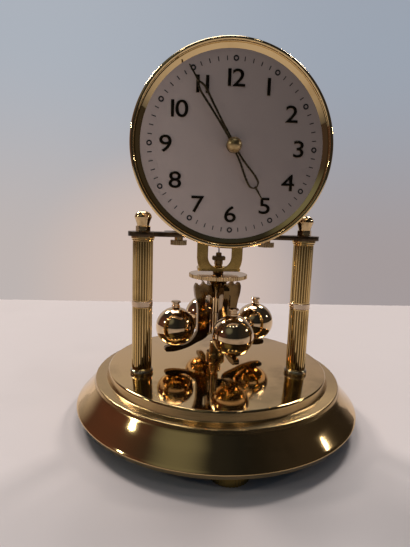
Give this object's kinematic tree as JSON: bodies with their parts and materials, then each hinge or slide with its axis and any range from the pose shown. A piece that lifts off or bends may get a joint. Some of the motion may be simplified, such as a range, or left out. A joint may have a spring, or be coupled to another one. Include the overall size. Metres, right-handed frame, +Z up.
{
  "type": "torsion pendulum table clock",
  "caption": "Open table clock on a spun brass base: fluted pillars carry a round dial and movement over a slowly turning ball pendulum hung on a thin ribbon.",
  "frame": {"origin": "on the table, under the middle of the base", "axes": "+Z up, along the pillars, -Y towards the viewer of the dial, +X to that viewer's right"},
  "size_m": [0.1488, 0.1488, 0.1818],
  "materials": {
    "spun_brass": "polished, slightly aged",
    "pillar_brass": "polished",
    "polished_brass": "polished",
    "hand_brass": "satin",
    "aged_brass": "aged satin",
    "bronzed_brass": "dark bronzed",
    "movement_brass": "brushed",
    "dial_silver": "satin silvered",
    "steel": "satin",
    "base_plate_paint": "matt black"
  },
  "bodies": {
    "frame": {"base_shell": "spun_brass", "base_plate": "base_plate_paint", "pillar_left": "pillar_brass", "pillar_right": "pillar_brass", "pillar_feet": "pillar_brass", "pillar_caps": "pillar_brass", "pillar_rods": "steel", "rod_nuts": "steel", "finial_left": "polished_brass", "finial_right": "polished_brass", "movement_bar": "aged_brass", "thumb_screws": "polished_brass", "front_plate": "movement_brass", "back_plate": "movement_brass", "plate_posts": "movement_brass", "plate_screws": "steel", "back_screws": "steel", "click_spring": "steel", "dial": "dial_silver", "dial_feet": "movement_brass", "bezel": "polished_brass", "suspension_saddle": "movement_brass", "top_block": "movement_brass", "suspension_ribbon": "steel", "lower_bracket": "aged_brass", "guide_post": "polished_brass"},
    "foot_front_body": {"foot_front": "aged_brass"},
    "foot_right_body": {"foot_right": "aged_brass"},
    "foot_left_body": {"foot_left": "aged_brass"},
    "centre": {"centre_arbor": "steel", "centre_wheel": "movement_brass", "cannon_pinion": "steel", "minute_hand": "hand_brass", "hand_nut": "polished_brass"},
    "second": {"second_arbor": "steel", "second_wheel": "movement_brass"},
    "first": {"first_arbor": "steel", "first_wheel": "movement_brass"},
    "barrel_body": {"barrel": "movement_brass", "barrel_cover": "movement_brass", "mainspring": "steel"},
    "third": {"third_arbor": "steel", "third_wheel": "movement_brass"},
    "escape": {"escape_arbor": "steel", "escape_wheel": "movement_brass"},
    "motion": {"minute_wheel": "movement_brass"},
    "hour": {"hour_wheel": "movement_brass", "hour_hand": "hand_brass"},
    "winding": {"barrel_arbor": "steel", "ratchet_wheel": "steel"},
    "click_body": {"click": "steel"},
    "pendulum": {"bottom_block": "movement_brass", "pendulum_hub": "bronzed_brass", "pendulum_arms": "bronzed_brass", "pendulum_balls": "polished_brass", "ball_knobs": "polished_brass"},
    "fork_body": {"fork": "movement_brass"},
    "anchor_body": {"anchor": "steel"},
    "regulator": {"regulating_disc": "polished_brass"}
  },
  "joints": [
    {"name": "centre_spin", "type": "hinge", "parent": "frame", "child": "centre", "pos_m": [0, -0.008, 0.1368], "axis": [0, 1, 0], "continuous": true},
    {"name": "second_spin", "type": "hinge", "parent": "frame", "child": "second", "pos_m": [0.01227, -0.0152, 0.1325], "axis": [0, 1, 0], "continuous": true},
    {"name": "first_spin", "type": "hinge", "parent": "frame", "child": "first", "pos_m": [0.00756, -0.0129, 0.11932], "axis": [0, 1, 0], "continuous": true},
    {"name": "barrel_spin", "type": "hinge", "parent": "frame", "child": "barrel_body", "pos_m": [-0.008, -0.0051, 0.1148], "axis": [0, 1, 0], "continuous": true},
    {"name": "third_spin", "type": "hinge", "parent": "frame", "child": "third", "pos_m": [-0.0087, -0.0046, 0.1432], "axis": [0, 1, 0], "continuous": true},
    {"name": "escape_spin", "type": "hinge", "parent": "frame", "child": "escape", "pos_m": [0, -0.0016, 0.1483], "axis": [0, 1, 0], "continuous": true},
    {"name": "minute_wheel_spin", "type": "hinge", "parent": "frame", "child": "motion", "pos_m": [-0.0053, -0.0192, 0.1315], "axis": [0, 1, 0], "continuous": true},
    {"name": "hour_spin", "type": "hinge", "parent": "frame", "child": "hour", "pos_m": [0, -0.0209, 0.1368], "axis": [0, 1, 0], "continuous": true},
    {"name": "winding_turn", "type": "hinge", "parent": "frame", "child": "winding", "pos_m": [-0.008, 0.0034, 0.1148], "axis": [0, 1, 0], "range_deg": [0, 4860]},
    {"name": "click_swing", "type": "hinge", "parent": "frame", "child": "click_body", "pos_m": [-0.01597, 0.0034, 0.12148], "axis": [0, -1, 0], "range_deg": [0, 12], "stiffness_Nm_per_rad": 0.002, "springref_deg": -11.46, "deforming": ["click_spring"]},
    {"name": "pendulum_swing", "type": "hinge", "parent": "frame", "child": "pendulum", "pos_m": [0, 0.0079, 0.1], "axis": [0, 0, 1], "range_deg": [-165, 165], "stiffness_Nm_per_rad": 0.000018, "deforming": ["suspension_ribbon"]},
    {"name": "fork_swing", "type": "hinge", "parent": "frame", "child": "fork_body", "pos_m": [0, 0.0079, 0.17], "axis": [0, 0, 1], "range_deg": [-6, 6]},
    {"name": "anchor_rock", "type": "hinge", "parent": "frame", "child": "anchor_body", "pos_m": [0, -0.0018, 0.1573], "axis": [0, 1, 0], "range_deg": [-5, 5]},
    {"name": "regulator_turn", "type": "hinge", "parent": "pendulum", "child": "regulator", "pos_m": [0, 0.0079, 0.0734], "axis": [0, 0, 1], "range_deg": [-90, 90]},
    {"name": "foot_front_turn", "type": "hinge", "parent": "frame", "child": "foot_front_body", "pos_m": [0, -0.061, 0.0021], "axis": [0, 0, 1], "range_deg": [-360, 360]},
    {"name": "foot_right_turn", "type": "hinge", "parent": "frame", "child": "foot_right_body", "pos_m": [0.05283, 0.0305, 0.0021], "axis": [0, 0, 1], "range_deg": [-360, 360]},
    {"name": "foot_left_turn", "type": "hinge", "parent": "frame", "child": "foot_left_body", "pos_m": [-0.05283, 0.0305, 0.0021], "axis": [0, 0, 1], "range_deg": [-360, 360]}
  ],
  "couplings": [
    {"joint": "second_spin", "follows": "centre_spin", "ratio": -0.11111},
    {"joint": "first_spin", "follows": "centre_spin", "ratio": 0.012346},
    {"joint": "barrel_spin", "follows": "centre_spin", "ratio": -0.0015432},
    {"joint": "third_spin", "follows": "centre_spin", "ratio": -4},
    {"joint": "escape_spin", "follows": "centre_spin", "ratio": 10},
    {"joint": "minute_wheel_spin", "follows": "centre_spin", "ratio": -0.33333},
    {"joint": "hour_spin", "follows": "centre_spin", "ratio": 0.083333},
    {"joint": "fork_swing", "follows": "pendulum_swing", "ratio": 0.03},
    {"joint": "anchor_rock", "follows": "pendulum_swing", "ratio": 0.02291}
  ]
}
